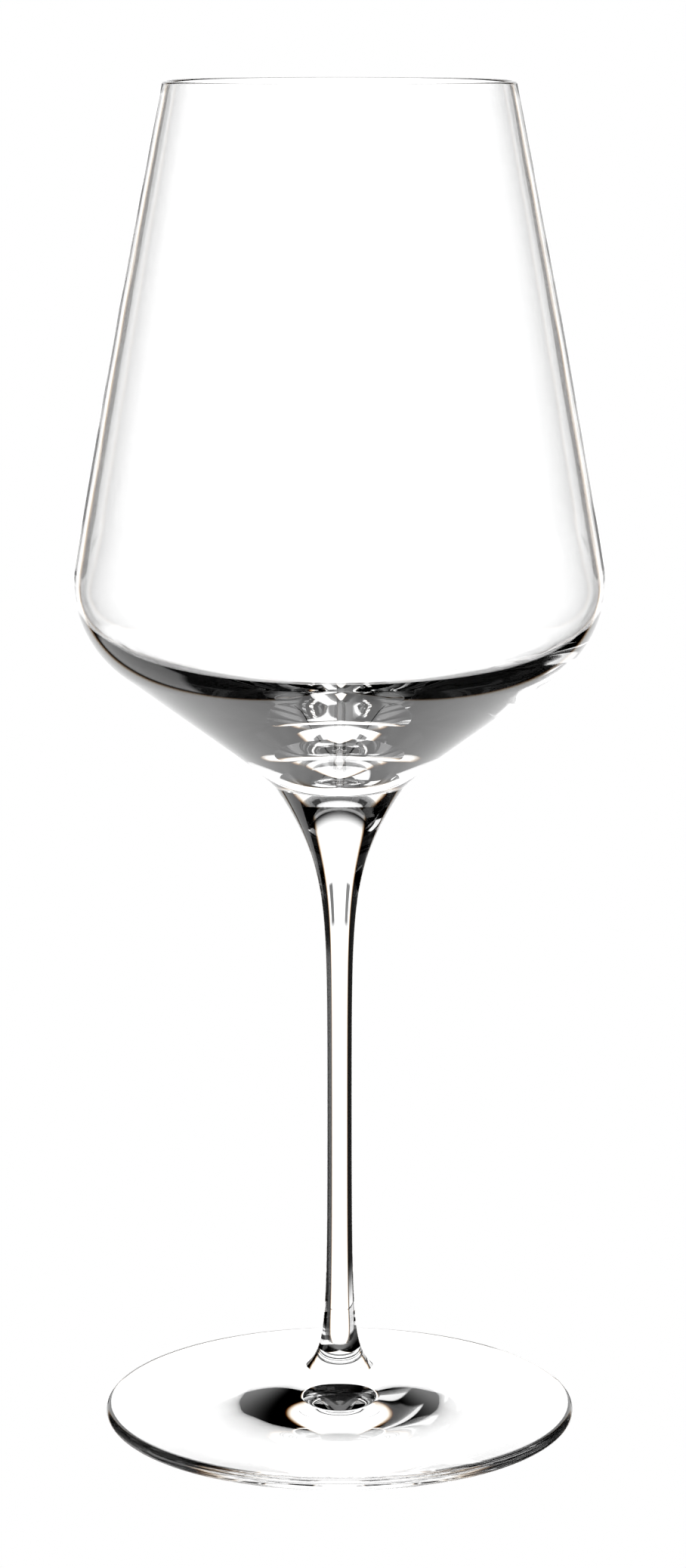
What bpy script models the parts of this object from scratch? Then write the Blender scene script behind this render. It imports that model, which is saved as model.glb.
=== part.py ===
"""A stemmed wine glass in three pieces: a blown bowl, a drawn stem and a spun foot, welded end to end while hot.

Blender 4.5, metres, +Z up. The origin is the centre of the ring that the foot rests on.
Every piece is an outline turned about +Z, and an outline is a list of (radius, height) points.
The real welds are solid glass. Here the two faces of a weld stand WELD_GAP apart.
"""

import math

import bmesh
import bpy

# Driving dimensions of the bowl. A slope is measured up from level, and runs past 90 degrees where a wall leans in.
HEIGHT = 0.247
RIM_RADIUS = 0.0316
LIP_RADIUS = 0.0005
BELLY_RADIUS = 0.04817
BELLY_HEIGHT = 0.15763
SHOULDER_RADIUS = 0.02026
SIDE_SLOPE = math.radians(99.83)
CONE_SLOPE = math.radians(36.4)

# Under the bowl the cone steepens, from where it has narrowed to EASE_START down to the weld.
EASE_START = 0.020
WELD_RADIUS = 0.0120
WELD_SLOPE = math.radians(43.0)

# The inside of the bowl. Its funnel is flatter than the outer cone, so the glass thickens towards the stem.
BELLY_WALL = 0.0011
INNER_SHOULDER_RADIUS = 0.0140
INNER_SHOULDER_HEIGHT = 0.1566
FUNNEL_TOP_SLOPE = math.radians(29.5)
FUNNEL_FOOT_SLOPE = math.radians(32.5)
FLOOR_RADIUS = 0.0172

# Driving dimensions of the stem. Its radius is that of the waist plus a flare under the bowl, a long swell over the
# foot and a short fillet at the foot. The flare widens by FLARE_RATE for each unit of height once it is straight.
LOWER_WELD_HEIGHT = 0.0092
WAIST_RADIUS = 0.00229
FLARE_RATE = 0.83
FLARE_EASE = 0.007
SWELL = 0.00176
SWELL_LENGTH = 0.0092
FILLET = 0.0022
FILLET_LENGTH = 0.0026

# Driving dimensions of the foot. Its underside is hollowed, so it rests on a flat ring near its edge.
FOOT_RADIUS = 0.0438
FOOT_EDGE = 0.0024
RING_OUTER = 0.0424
RING_INNER = 0.0345
FOOT_RISE_POWER = 1.62
HOLLOW = 0.0021

WELD_GAP = 0.0003

ROUND_STEPS = 64
STEM_STEPS = 40
GLASS_COLOUR = (0.95, 0.97, 0.965, 1.0)
GLASS_IOR = 1.52
GLASS_ROUGHNESS = 0.01


def arc(centre, radius, first, last, count):
    """Points of a circle, from where its slope is first to where it is last."""
    slopes = [first + (last - first) * i / (count - 1) for i in range(count)]
    return [(centre[0] + radius * math.sin(a), centre[1] - radius * math.cos(a)) for a in slopes]


def arc_to(start, slope, end, count):
    """Points of the arc that leaves start at a slope and ends at end, without start itself."""
    across = end[0] - start[0]
    up = end[1] - start[1]
    turn = 2 * (math.atan2(up, across) - slope)
    radius = math.hypot(across, up) / (2 * math.sin(turn / 2))
    centre = (start[0] - radius * math.sin(slope), start[1] + radius * math.cos(slope))
    return arc(centre, radius, slope, slope + turn, count + 1)[1:]


SHOULDER_CENTRE = (BELLY_RADIUS - SHOULDER_RADIUS, BELLY_HEIGHT)


def cone_outline():
    """Up the outside of the cone, from the weld to where the steeper part ends."""
    shoulder_foot = arc(SHOULDER_CENTRE, SHOULDER_RADIUS, CONE_SLOPE, SIDE_SLOPE, 2)[0]
    ease_height = shoulder_foot[1] - (shoulder_foot[0] - EASE_START) * math.tan(CONE_SLOPE)
    ease_radius = (EASE_START - WELD_RADIUS) / (math.sin(WELD_SLOPE) - math.sin(CONE_SLOPE))
    ease_centre = (
        EASE_START + ease_radius * math.sin(CONE_SLOPE),
        ease_height - ease_radius * math.cos(CONE_SLOPE),
    )
    return arc(ease_centre, -ease_radius, WELD_SLOPE, CONE_SLOPE, 4)


UPPER_WELD_HEIGHT = cone_outline()[0][1]


def bowl_outline():
    """From the middle of the floor up the inside, over the lip and down the outside to the weld."""
    lip_centre = (RIM_RADIUS - LIP_RADIUS, HEIGHT - LIP_RADIUS)

    inner_centre = (BELLY_RADIUS - BELLY_WALL - INNER_SHOULDER_RADIUS, INNER_SHOULDER_HEIGHT)
    inner_shoulder = arc(inner_centre, INNER_SHOULDER_RADIUS, FUNNEL_TOP_SLOPE, SIDE_SLOPE, 9)
    funnel_top = inner_shoulder[0]
    floor_edge = FLOOR_RADIUS * math.sin(FUNNEL_FOOT_SLOPE)
    funnel_radius = (funnel_top[0] - floor_edge) / (math.sin(FUNNEL_TOP_SLOPE) - math.sin(FUNNEL_FOOT_SLOPE))
    funnel_centre = (
        funnel_top[0] - funnel_radius * math.sin(FUNNEL_TOP_SLOPE),
        funnel_top[1] + funnel_radius * math.cos(FUNNEL_TOP_SLOPE),
    )
    funnel = arc(funnel_centre, funnel_radius, FUNNEL_FOOT_SLOPE, FUNNEL_TOP_SLOPE, 4)
    floor_centre = (0.0, funnel[0][1] + FLOOR_RADIUS * math.cos(FUNNEL_FOOT_SLOPE))
    floor = arc(floor_centre, FLOOR_RADIUS, 0.0, FUNNEL_FOOT_SLOPE, 6)
    inner_rim = (lip_centre[0] - LIP_RADIUS, lip_centre[1])
    inside = floor + funnel[1:] + inner_shoulder[1:]
    inside = inside + arc_to(inner_shoulder[-1], SIDE_SLOPE, inner_rim, 6)

    outer_shoulder = arc(SHOULDER_CENTRE, SHOULDER_RADIUS, CONE_SLOPE, SIDE_SLOPE, 10)
    outer_rim = (RIM_RADIUS, lip_centre[1])
    outside = cone_outline() + outer_shoulder + arc_to(outer_shoulder[-1], SIDE_SLOPE, outer_rim, 6)

    lip = arc(lip_centre, LIP_RADIUS, math.radians(240), math.radians(120), 3)
    return inside + lip + outside[::-1] + [(0.0, UPPER_WELD_HEIGHT)]


def stem_radius(height):
    """A thin shank that swells and fillets into the foot, and eases into a straight flare under the bowl."""
    above_foot = height - LOWER_WELD_HEIGHT
    swell = SWELL * math.exp(-above_foot / SWELL_LENGTH)
    fillet = FILLET * math.exp(-above_foot / FILLET_LENGTH)
    scale = FLARE_RATE * FLARE_EASE
    full = math.log(math.expm1((WELD_RADIUS - WAIST_RADIUS) / scale))
    below_weld = (UPPER_WELD_HEIGHT - height) / FLARE_EASE
    flare = scale * math.log1p(math.exp(full - below_weld))
    return WAIST_RADIUS + swell + fillet + flare


def stem_outline():
    """From the middle of the upper weld down the side to the middle of the lower one, with points closest at both ends."""
    top = UPPER_WELD_HEIGHT - WELD_GAP
    bottom = LOWER_WELD_HEIGHT
    count = 30
    turns = [math.pi * i / (count - 1) for i in range(count)]
    heights = [(top + bottom) / 2 + (top - bottom) / 2 * math.cos(a) for a in turns]
    side = [(stem_radius(h), h) for h in heights]
    return [(0.0, top)] + side + [(0.0, bottom)]


def foot_outline():
    """From the middle of the weld down the top, round the edge, across the resting ring and up into the hollow."""
    weld = LOWER_WELD_HEIGHT - WELD_GAP
    weld_radius = stem_radius(LOWER_WELD_HEIGHT)
    edge_radius = FOOT_EDGE / 2
    edge_centre = (FOOT_RADIUS - edge_radius, edge_radius)

    top = []
    for i in range(12):
        out = i / 12
        radius = weld_radius + (edge_centre[0] - weld_radius) * out
        top.append((radius, FOOT_EDGE + (weld - FOOT_EDGE) * (1 - out) ** FOOT_RISE_POWER))

    edge = arc(edge_centre, edge_radius, math.pi, math.radians(30), 6)
    hollow = []
    for i in range(1, 6):
        inward = i / 5
        hollow.append((RING_INNER * (1 - inward), HOLLOW * math.sin(inward * math.pi / 2)))
    return [(0.0, weld)] + top + edge + [(RING_OUTER, 0.0), (RING_INNER, 0.0)] + hollow


def glass(name):
    material = bpy.data.materials.new(name)
    material.use_nodes = True
    shader = material.node_tree.nodes["Principled BSDF"]
    shader.inputs["Base Color"].default_value = GLASS_COLOUR
    shader.inputs["Metallic"].default_value = 0.0
    shader.inputs["Roughness"].default_value = GLASS_ROUGHNESS
    shader.inputs["IOR"].default_value = GLASS_IOR
    shader.inputs["Transmission Weight"].default_value = 1.0
    return material


def turned(name, outline, steps):
    """One closed piece: the outline spun about +Z."""
    shape = bmesh.new()
    points = [shape.verts.new((radius, 0.0, height)) for radius, height in outline]
    edges = [shape.edges.new(pair) for pair in zip(points, points[1:])]
    bmesh.ops.spin(
        shape,
        geom=points + edges,
        cent=(0.0, 0.0, 0.0),
        axis=(0.0, 0.0, 1.0),
        angle=2 * math.pi,
        steps=steps,
        use_merge=True,
    )
    bmesh.ops.remove_doubles(shape, verts=shape.verts, dist=1e-6)
    bmesh.ops.recalc_face_normals(shape, faces=shape.faces)
    mesh = bpy.data.meshes.new(name)
    shape.to_mesh(mesh)
    shape.free()
    mesh.shade_smooth()
    mesh.set_sharp_from_angle(angle=math.radians(35))
    mesh.materials.append(glass(name + "_glass"))
    piece = bpy.data.objects.new(name, mesh)
    bpy.context.scene.collection.objects.link(piece)
    return piece


def main():
    for old in list(bpy.data.objects):
        bpy.data.objects.remove(old, do_unlink=True)
    turned("bowl", bowl_outline(), ROUND_STEPS)
    turned("stem", stem_outline(), STEM_STEPS)
    turned("foot", foot_outline(), ROUND_STEPS)


main()
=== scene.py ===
"""A stemmed wine glass in clear crystal, standing in front of a lit white background.

It is three pieces, as the real glass is: a blown bowl, a drawn stem and a spun foot. Each is an outline of
(radius, height) points turned about +Z. The outlines follow the CAD, in metres, with many more points. The
pieces meet at the welds, where both faces are clear, so light passes as it does through one solid of glass.
"""

import math

import bmesh
import bpy
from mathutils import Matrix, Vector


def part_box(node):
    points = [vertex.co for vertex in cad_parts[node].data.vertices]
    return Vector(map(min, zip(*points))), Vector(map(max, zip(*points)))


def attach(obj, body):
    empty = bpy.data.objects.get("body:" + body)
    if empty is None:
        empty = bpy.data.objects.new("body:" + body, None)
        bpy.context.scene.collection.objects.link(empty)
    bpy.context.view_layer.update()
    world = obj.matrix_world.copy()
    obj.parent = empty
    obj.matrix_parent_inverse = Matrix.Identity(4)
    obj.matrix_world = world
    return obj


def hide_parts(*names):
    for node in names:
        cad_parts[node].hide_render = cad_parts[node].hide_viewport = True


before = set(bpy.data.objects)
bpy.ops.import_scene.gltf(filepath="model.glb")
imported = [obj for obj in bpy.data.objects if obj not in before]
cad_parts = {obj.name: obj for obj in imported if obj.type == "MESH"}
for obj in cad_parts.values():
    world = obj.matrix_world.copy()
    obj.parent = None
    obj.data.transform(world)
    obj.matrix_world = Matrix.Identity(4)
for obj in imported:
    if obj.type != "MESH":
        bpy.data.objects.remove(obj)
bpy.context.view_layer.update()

# Where the pieces lie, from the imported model.
BOWL_LOW, BOWL_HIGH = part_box("bowl")
STEM_LOW, STEM_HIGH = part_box("stem")
FOOT_LOW, FOOT_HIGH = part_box("foot")
HEIGHT = BOWL_HIGH.z
UPPER_WELD = BOWL_LOW.z
LOWER_WELD = STEM_LOW.z
FOOT_RADIUS = FOOT_HIGH.x

# The bowl, as in the CAD. A slope is measured up from level, and runs past 90 degrees where a wall leans in.
RIM_RADIUS = 0.0316
LIP_RADIUS = 0.0005
BELLY_RADIUS = 0.04817
BELLY_HEIGHT = 0.15763
SHOULDER_RADIUS = 0.02026
SHOULDER_CENTRE = (BELLY_RADIUS - SHOULDER_RADIUS, BELLY_HEIGHT)
SIDE_SLOPE = math.radians(99.83)
CONE_SLOPE = math.radians(36.4)

# Under the bowl the cone steepens, from where it has narrowed to EASE_START down to the weld.
EASE_START = 0.020
WELD_RADIUS = 0.0120
WELD_SLOPE = math.radians(43.0)

# The inside of the bowl. Its funnel is flatter than the outer cone, so the glass thickens towards the stem.
BELLY_WALL = 0.0011
INNER_SHOULDER_RADIUS = 0.0140
INNER_SHOULDER_HEIGHT = 0.1566
FUNNEL_TOP_SLOPE = math.radians(29.5)
FUNNEL_FOOT_SLOPE = math.radians(32.5)
FLOOR_RADIUS = 0.0172

# The stem, as in the CAD.
WAIST_RADIUS = 0.00229
FLARE_RATE = 0.83
FLARE_EASE = 0.007
SWELL = 0.00176
SWELL_LENGTH = 0.0092
FILLET = 0.0022
FILLET_LENGTH = 0.0026

# The foot, as in the CAD.
FOOT_EDGE = 0.0024
RING_OUTER = 0.0424
RING_INNER = 0.0345
FOOT_RISE_POWER = 1.62
HOLLOW = 0.0021

# How finely the outlines are drawn and turned.
SHOULDER_POINTS = 40
FLOOR_POINTS = 32
SIDE_POINTS = 30
FUNNEL_POINTS = 20
EASE_POINTS = 12
CONE_POINTS = 10
LIP_POINTS = 9
STEM_POINTS = 110
FOOT_TOP_POINTS = 60
FOOT_EDGE_POINTS = 20
HOLLOW_POINTS = 40
ROUND_STEPS = 192
STEM_STEPS = 96
SHARP_ANGLE = math.radians(30)

# The glass, and the faint ripple in its surface.
GLASS_IOR = 1.52
RIPPLE_SCALE = 70.0
RIPPLE_DEPTH = 0.00004

# Light as the glass sees it, where plain white is 1. The background is overexposed, so it is brighter.
BACKGROUND_LIGHT = 1.4
STRIP_DEPTH = 0.85
ROOM_LIGHT = 0.2
PANEL_LIGHT = 1.15

# Directions in degrees: azimuth from straight behind the glass, and elevation. A pair is where something
# starts and ends. The first three pairs are the blurred edges where one level turns into another.
BACKGROUND_SIDE = (25.0, 31.0)
BACKGROUND_TOP = (26.0, 38.0)
ROOM_SIDE = (120.0, 160.0)
STRIP = ((13.3, 21.3), (-7.5, 1.5))
STRIP_BLUR = 0.7
PANELS = (
    ((-62.0, -33.0), (-50.0, -21.0)),
    ((-108.0, -76.0), (-16.0, 8.0)),
    ((104.0, 166.0), (-45.0, -4.0)),
)
PANEL_BLUR = 2.0

# Glass bends red less than blue, so each primary colour sees the background's edges this much further out.
PRIMARY_SPREADS = (0.4, 0.0, -0.4)

# The table top is a hair under the foot, and runs out of the picture on every side.
TABLE_SIZE = 6.0
TABLE_HEIGHT = -0.0004

# The camera looks down a little from in front of the glass.
CAMERA_DISTANCE = 0.7492
CAMERA_HEIGHT = 0.26163
CAMERA_TILT = math.radians(10.697)
CAMERA_LENS = 95.727
CAMERA_SENSOR = 36.0
CAMERA_SHIFT = 0.00217
CAMERA_NEAREST = 0.01

# The most faces that one ray of light crosses, in all and by reflection.
MOST_BOUNCES = 32
MOST_REFLECTIONS = 16

WHITE = (1.0, 1.0, 1.0, 1.0)


def arc(centre, radius, first, last, count):
    """Points of a circle, from where its slope is first to where it is last."""
    slopes = [first + (last - first) * i / (count - 1) for i in range(count)]
    return [(centre[0] + radius * math.sin(a), centre[1] - radius * math.cos(a)) for a in slopes]


def arc_to(start, slope, end, count):
    """Points of the arc that leaves start at a slope and ends at end, without start itself."""
    across = end[0] - start[0]
    up = end[1] - start[1]
    turn = 2 * (math.atan2(up, across) - slope)
    radius = math.hypot(across, up) / (2 * math.sin(turn / 2))
    centre = (start[0] - radius * math.sin(slope), start[1] + radius * math.cos(slope))
    return arc(centre, radius, slope, slope + turn, count + 1)[1:]


def line(start, end, count):
    """Points between start and end, without either."""
    shares = [i / (count + 1) for i in range(1, count + 1)]
    return [(start[0] + (end[0] - start[0]) * s, start[1] + (end[1] - start[1]) * s) for s in shares]


def bowl_inside(inner_rim):
    """From the middle of the floor up the funnel, round the shoulder and up the side."""
    inner_centre = (BELLY_RADIUS - BELLY_WALL - INNER_SHOULDER_RADIUS, INNER_SHOULDER_HEIGHT)
    shoulder = arc(inner_centre, INNER_SHOULDER_RADIUS, FUNNEL_TOP_SLOPE, SIDE_SLOPE, SHOULDER_POINTS)

    funnel_top = shoulder[0]
    floor_edge = FLOOR_RADIUS * math.sin(FUNNEL_FOOT_SLOPE)
    funnel_radius = (funnel_top[0] - floor_edge) / (math.sin(FUNNEL_TOP_SLOPE) - math.sin(FUNNEL_FOOT_SLOPE))
    funnel_centre = (
        funnel_top[0] - funnel_radius * math.sin(FUNNEL_TOP_SLOPE),
        funnel_top[1] + funnel_radius * math.cos(FUNNEL_TOP_SLOPE),
    )
    funnel = arc(funnel_centre, funnel_radius, FUNNEL_FOOT_SLOPE, FUNNEL_TOP_SLOPE, FUNNEL_POINTS)

    floor_centre = (0.0, funnel[0][1] + FLOOR_RADIUS * math.cos(FUNNEL_FOOT_SLOPE))
    floor = arc(floor_centre, FLOOR_RADIUS, 0.0, FUNNEL_FOOT_SLOPE, FLOOR_POINTS)
    side = arc_to(shoulder[-1], SIDE_SLOPE, inner_rim, SIDE_POINTS)
    return floor + funnel[1:] + shoulder[1:] + side


def bowl_outside(outer_rim):
    """From the weld up the cone, round the shoulder and up the side."""
    shoulder = arc(SHOULDER_CENTRE, SHOULDER_RADIUS, CONE_SLOPE, SIDE_SLOPE, SHOULDER_POINTS)
    cone_top = shoulder[0]
    ease_height = cone_top[1] - (cone_top[0] - EASE_START) * math.tan(CONE_SLOPE)
    ease_radius = (EASE_START - WELD_RADIUS) / (math.sin(WELD_SLOPE) - math.sin(CONE_SLOPE))
    ease_centre = (
        EASE_START + ease_radius * math.sin(CONE_SLOPE),
        ease_height - ease_radius * math.cos(CONE_SLOPE),
    )
    ease = arc(ease_centre, -ease_radius, WELD_SLOPE, CONE_SLOPE, EASE_POINTS)
    side = arc_to(shoulder[-1], SIDE_SLOPE, outer_rim, SIDE_POINTS)
    return ease + line(ease[-1], cone_top, CONE_POINTS) + shoulder + side


def bowl_outline():
    """From the middle of the floor up the inside, over the lip and down the outside to the weld."""
    lip_centre = (RIM_RADIUS - LIP_RADIUS, HEIGHT - LIP_RADIUS)
    inside = bowl_inside((lip_centre[0] - LIP_RADIUS, lip_centre[1]))
    outside = bowl_outside((RIM_RADIUS, lip_centre[1]))
    lip = arc(lip_centre, LIP_RADIUS, math.radians(260), math.radians(100), LIP_POINTS)
    return inside + lip + outside[::-1] + [(0.0, UPPER_WELD)]


def stem_radius(height):
    """A thin shank that swells and fillets into the foot, and eases into a straight flare under the bowl."""
    above_foot = height - LOWER_WELD
    swell = SWELL * math.exp(-above_foot / SWELL_LENGTH)
    fillet = FILLET * math.exp(-above_foot / FILLET_LENGTH)
    scale = FLARE_RATE * FLARE_EASE
    full = math.log(math.expm1((WELD_RADIUS - WAIST_RADIUS) / scale))
    below_weld = (UPPER_WELD - height) / FLARE_EASE
    flare = scale * math.log1p(math.exp(full - below_weld))
    return WAIST_RADIUS + swell + fillet + flare


def stem_outline():
    """From the middle of the upper weld down the side to the middle of the lower one.

    The points are closest together at both ends, where the side curves most.
    """
    middle = (UPPER_WELD + LOWER_WELD) / 2
    half = (UPPER_WELD - LOWER_WELD) / 2
    turns = [math.pi * i / (STEM_POINTS - 1) for i in range(STEM_POINTS)]
    heights = [middle + half * math.cos(turn) for turn in turns]
    side = [(stem_radius(h), h) for h in heights]
    return [(0.0, UPPER_WELD)] + side + [(0.0, LOWER_WELD)]


def foot_outline():
    """From the middle of the weld down the top, round the edge, across the ring and up into the hollow."""
    weld_radius = stem_radius(LOWER_WELD)
    edge_radius = FOOT_EDGE / 2
    edge_centre = (FOOT_RADIUS - edge_radius, edge_radius)

    top = []
    for i in range(FOOT_TOP_POINTS):
        out = i / FOOT_TOP_POINTS
        radius = weld_radius + (edge_centre[0] - weld_radius) * out
        height = FOOT_EDGE + (LOWER_WELD - FOOT_EDGE) * (1 - out) ** FOOT_RISE_POWER
        top.append((radius, height))

    edge = arc(edge_centre, edge_radius, math.pi, math.radians(20), FOOT_EDGE_POINTS)
    ring = [(RING_OUTER, 0.0), (RING_INNER, 0.0)]

    hollow = []
    for i in range(1, HOLLOW_POINTS + 1):
        inward = i / HOLLOW_POINTS
        hollow.append((RING_INNER * (1 - inward), HOLLOW * math.sin(inward * math.pi / 2)))
    return [(0.0, LOWER_WELD)] + top + edge + ring + hollow


def glass_material():
    """Clear polished crystal, with the faint ripple of glass worked while hot."""
    material = bpy.data.materials.new("clear_crystal")
    material.use_nodes = True
    nodes = material.node_tree.nodes
    links = material.node_tree.links
    shader = nodes["Principled BSDF"]
    shader.inputs["Base Color"].default_value = WHITE
    shader.inputs["Roughness"].default_value = 0.0
    shader.inputs["IOR"].default_value = GLASS_IOR
    shader.inputs["Transmission Weight"].default_value = 1.0

    place = nodes.new("ShaderNodeTexCoord")
    ripple = nodes.new("ShaderNodeTexNoise")
    ripple.inputs["Scale"].default_value = RIPPLE_SCALE
    ripple.inputs["Detail"].default_value = 1.0
    bump = nodes.new("ShaderNodeBump")
    bump.inputs["Strength"].default_value = 1.0
    bump.inputs["Distance"].default_value = RIPPLE_DEPTH
    links.new(place.outputs["Object"], ripple.inputs["Vector"])
    links.new(ripple.outputs["Fac"], bump.inputs["Height"])
    links.new(bump.outputs["Normal"], shader.inputs["Normal"])
    return material


def weld_material():
    """A weld is solid glass, so its faces don't show: light passes straight through them."""
    material = bpy.data.materials.new("weld_face")
    material.use_nodes = True
    shader = material.node_tree.nodes["Principled BSDF"]
    shader.inputs["Alpha"].default_value = 0.0
    return material


def is_weld(face, welds):
    """Whether a face is level and lies at the height of one of the welds."""
    heights = [vertex.co.z for vertex in face.verts]
    level = max(heights) - min(heights) < 1e-7
    return level and any(abs(heights[0] - weld) < 1e-6 for weld in welds)


def turned(name, outline, steps, welds, materials):
    """One closed piece: the outline spun about +Z. In materials the glass is first and the weld second."""
    shape = bmesh.new()
    points = [shape.verts.new((radius, 0.0, height)) for radius, height in outline]
    edges = [shape.edges.new(pair) for pair in zip(points, points[1:])]
    bmesh.ops.spin(
        shape,
        geom=points + edges,
        cent=(0.0, 0.0, 0.0),
        axis=(0.0, 0.0, 1.0),
        angle=2 * math.pi,
        steps=steps,
        use_merge=True,
    )
    bmesh.ops.remove_doubles(shape, verts=shape.verts, dist=1e-7)
    bmesh.ops.recalc_face_normals(shape, faces=shape.faces)
    for face in shape.faces:
        if is_weld(face, welds):
            face.material_index = 1
    mesh = bpy.data.meshes.new(name)
    shape.to_mesh(mesh)
    shape.free()
    mesh.shade_smooth()
    mesh.set_sharp_from_angle(angle=SHARP_ANGLE)
    for material in materials:
        mesh.materials.append(material)
    piece = bpy.data.objects.new(name, mesh)
    bpy.context.scene.collection.objects.link(piece)
    return piece


def make_glass():
    materials = [glass_material(), weld_material()]
    pieces = (
        ("blown_bowl", "bowl", bowl_outline(), ROUND_STEPS, [UPPER_WELD]),
        ("drawn_stem", "stem", stem_outline(), STEM_STEPS, [UPPER_WELD, LOWER_WELD]),
        ("spun_foot", "foot", foot_outline(), ROUND_STEPS, [LOWER_WELD]),
    )
    for name, node, outline, steps, welds in pieces:
        piece = turned(name, outline, steps, welds, materials)
        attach(piece, "root")
        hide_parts(node)


class Studio:
    """The node tree of the studio: what a ray sees when it leaves the glass in a given direction."""

    def __init__(self, tree):
        self.nodes = tree.nodes
        self.links = tree.links
        self.nodes.clear()

    def plug(self, value, socket):
        """Sets a socket to a constant, or links another node's output to it."""
        if isinstance(value, (int, float, tuple)):
            socket.default_value = value
        else:
            self.links.new(value, socket)

    def maths(self, operation, *values):
        node = self.nodes.new("ShaderNodeMath")
        node.operation = operation
        for value, socket in zip(values, node.inputs):
            self.plug(value, socket)
        return node.outputs[0]

    def rise(self, value, low, high, bottom=0.0, top=1.0):
        """A smooth step from bottom, where value is low, to top, where it is high."""
        node = self.nodes.new("ShaderNodeMapRange")
        node.interpolation_type = "SMOOTHSTEP"
        self.plug(value, node.inputs["Value"])
        self.plug(low, node.inputs["From Min"])
        self.plug(high, node.inputs["From Max"])
        self.plug(bottom, node.inputs["To Min"])
        self.plug(top, node.inputs["To Max"])
        return node.outputs["Result"]

    def between(self, value, ends, blur):
        """One between two ends and nought outside them, with each end blurred by so much both ways."""
        start = self.rise(value, ends[0] - blur, ends[0] + blur)
        stop = self.rise(value, ends[1] - blur, ends[1] + blur, 1.0, 0.0)
        return self.maths("MULTIPLY", start, stop)

    def patch(self, azimuth, elevation, place, blur):
        """One inside a patch of the studio and nought outside it. A place is its sides, then its heights."""
        across = self.between(azimuth, place[0], blur)
        up = self.between(elevation, place[1], blur)
        return self.maths("MULTIPLY", across, up)

    def colour(self, red, green, blue):
        node = self.nodes.new("ShaderNodeCombineXYZ")
        for value, socket in zip((red, green, blue), node.inputs):
            self.plug(value, socket)
        return node.outputs[0]

    def background(self, colour):
        node = self.nodes.new("ShaderNodeBackground")
        self.plug(colour, node.inputs["Color"])
        return node.outputs[0]


def brightness(studio, azimuth, elevation, spread):
    """How bright one primary colour is in a direction.

    The lit background ends at dark screens on both sides and overhead, and a dark strip near each of its sides
    draws the edges of the bowl. The room is dim, with three more lit panels that stand where the other views
    look.
    """
    away = studio.maths("ABSOLUTE", azimuth)
    inner, outer = BACKGROUND_SIDE
    side = studio.rise(away, inner + spread, outer + spread, BACKGROUND_LIGHT, 0.0)
    lit = studio.maths("MULTIPLY", side, studio.rise(elevation, *BACKGROUND_TOP, 1.0, 0.0))
    strip = studio.patch(away, elevation, STRIP, STRIP_BLUR)
    kept = studio.maths("SUBTRACT", 1.0, studio.maths("MULTIPLY", strip, STRIP_DEPTH))
    light = studio.maths("MULTIPLY", lit, kept)
    light = studio.maths("ADD", light, studio.rise(away, *ROOM_SIDE, 0.0, ROOM_LIGHT))
    for place in PANELS:
        panel = studio.patch(azimuth, elevation, place, PANEL_BLUR)
        light = studio.maths("ADD", light, studio.maths("MULTIPLY", panel, PANEL_LIGHT))
    return light


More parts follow.
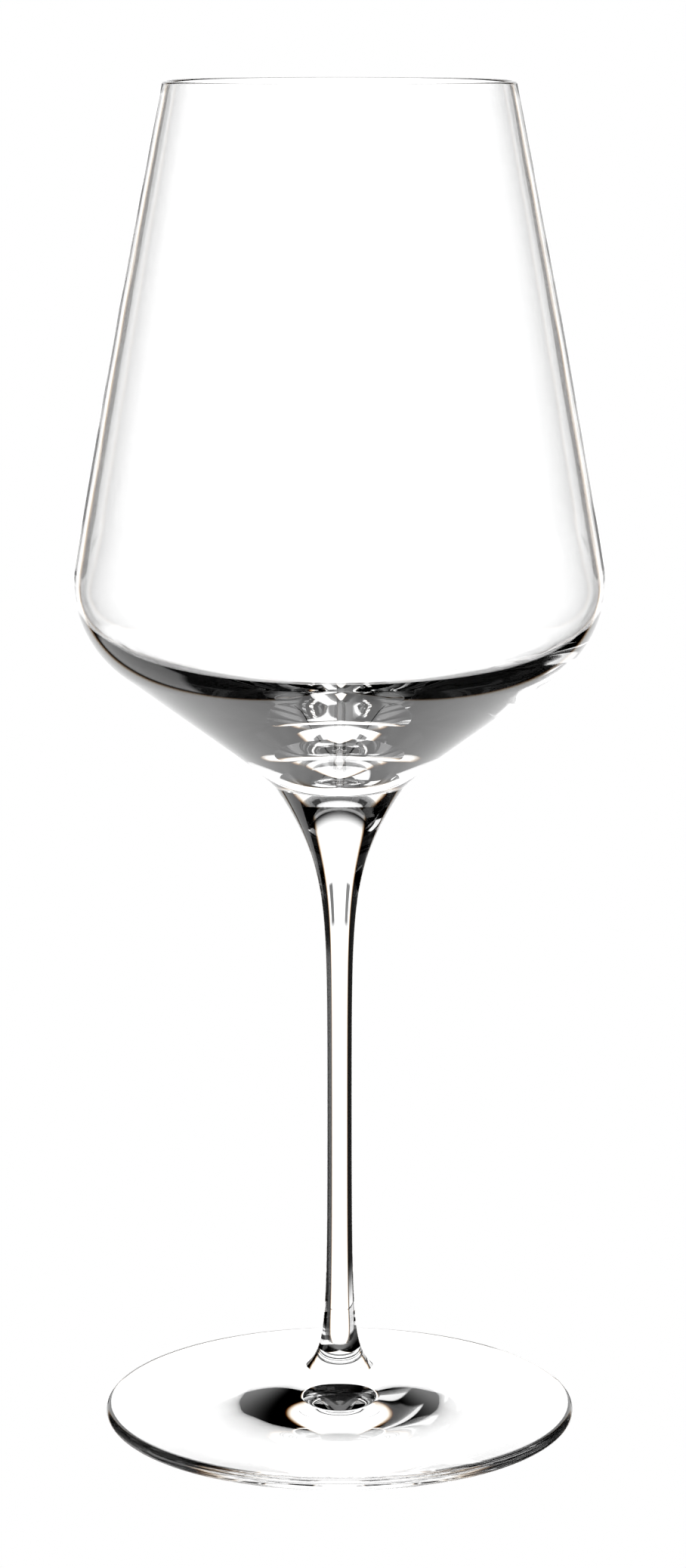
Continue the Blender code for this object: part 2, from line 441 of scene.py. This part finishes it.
def make_studio():
    """The camera sees plain white behind the glass, which itself sees the lit background and the room."""
    world = bpy.data.worlds.new("studio")
    bpy.context.scene.world = world
    world.use_nodes = True
    studio = Studio(world.node_tree)
    place = studio.nodes.new("ShaderNodeTexCoord")
    split = studio.nodes.new("ShaderNodeSeparateXYZ")
    studio.links.new(place.outputs["Generated"], split.inputs[0])
    x, y, z = split.outputs
    azimuth = studio.maths("MULTIPLY", studio.maths("ARCTAN2", x, y), math.degrees(1))
    elevation = studio.maths("MULTIPLY", studio.maths("ARCSINE", z), math.degrees(1))

    primaries = [brightness(studio, azimuth, elevation, spread) for spread in PRIMARY_SPREADS]
    seen_by_glass = studio.background(studio.colour(*primaries))
    seen_by_camera = studio.background(WHITE)
    path = studio.nodes.new("ShaderNodeLightPath")
    mix = studio.nodes.new("ShaderNodeMixShader")
    out = studio.nodes.new("ShaderNodeOutputWorld")
    studio.links.new(path.outputs["Is Camera Ray"], mix.inputs[0])
    studio.links.new(seen_by_glass, mix.inputs[1])
    studio.links.new(seen_by_camera, mix.inputs[2])
    studio.links.new(mix.outputs[0], out.inputs["Surface"])


def make_floor():
    """A white table top that runs to the background, lit as brightly, so no edge or shadow shows on it."""
    mesh = bpy.data.meshes.new("floor")
    signs = ((-1, -1), (1, -1), (1, 1), (-1, 1))
    corners = [(across * TABLE_SIZE, along * TABLE_SIZE, TABLE_HEIGHT) for across, along in signs]
    mesh.from_pydata(corners, [], [(0, 1, 2, 3)])
    floor = bpy.data.objects.new("floor", mesh)
    bpy.context.scene.collection.objects.link(floor)
    material = bpy.data.materials.new("floor_white")
    material.use_nodes = True
    nodes = material.node_tree.nodes
    nodes.clear()
    glow = nodes.new("ShaderNodeEmission")
    glow.inputs["Color"].default_value = WHITE
    out = nodes.new("ShaderNodeOutputMaterial")
    material.node_tree.links.new(glow.outputs[0], out.inputs["Surface"])
    mesh.materials.append(material)
    for ray in ("diffuse", "glossy", "transmission", "volume_scatter", "shadow"):
        setattr(floor, "visible_" + ray, False)


def make_camera():
    lens = bpy.data.cameras.new("camera")
    lens.lens = CAMERA_LENS
    lens.sensor_width = CAMERA_SENSOR
    lens.shift_x = CAMERA_SHIFT
    lens.clip_start = CAMERA_NEAREST
    camera = bpy.data.objects.new("camera", lens)
    camera.location = (0.0, -CAMERA_DISTANCE, CAMERA_HEIGHT)
    camera.rotation_euler = (math.pi / 2 - CAMERA_TILT, 0.0, 0.0)
    bpy.context.scene.collection.objects.link(camera)
    bpy.context.scene.camera = camera


def set_light_paths():
    """Enough bounces for light that crosses many faces of glass, and no tone curve over the white."""
    scene = bpy.context.scene
    scene.cycles.max_bounces = MOST_BOUNCES
    scene.cycles.transmission_bounces = MOST_BOUNCES
    scene.cycles.glossy_bounces = MOST_REFLECTIONS
    scene.cycles.transparent_max_bounces = MOST_BOUNCES
    scene.view_settings.view_transform = "Standard"


make_glass()
make_studio()
make_floor()
make_camera()
set_light_paths()
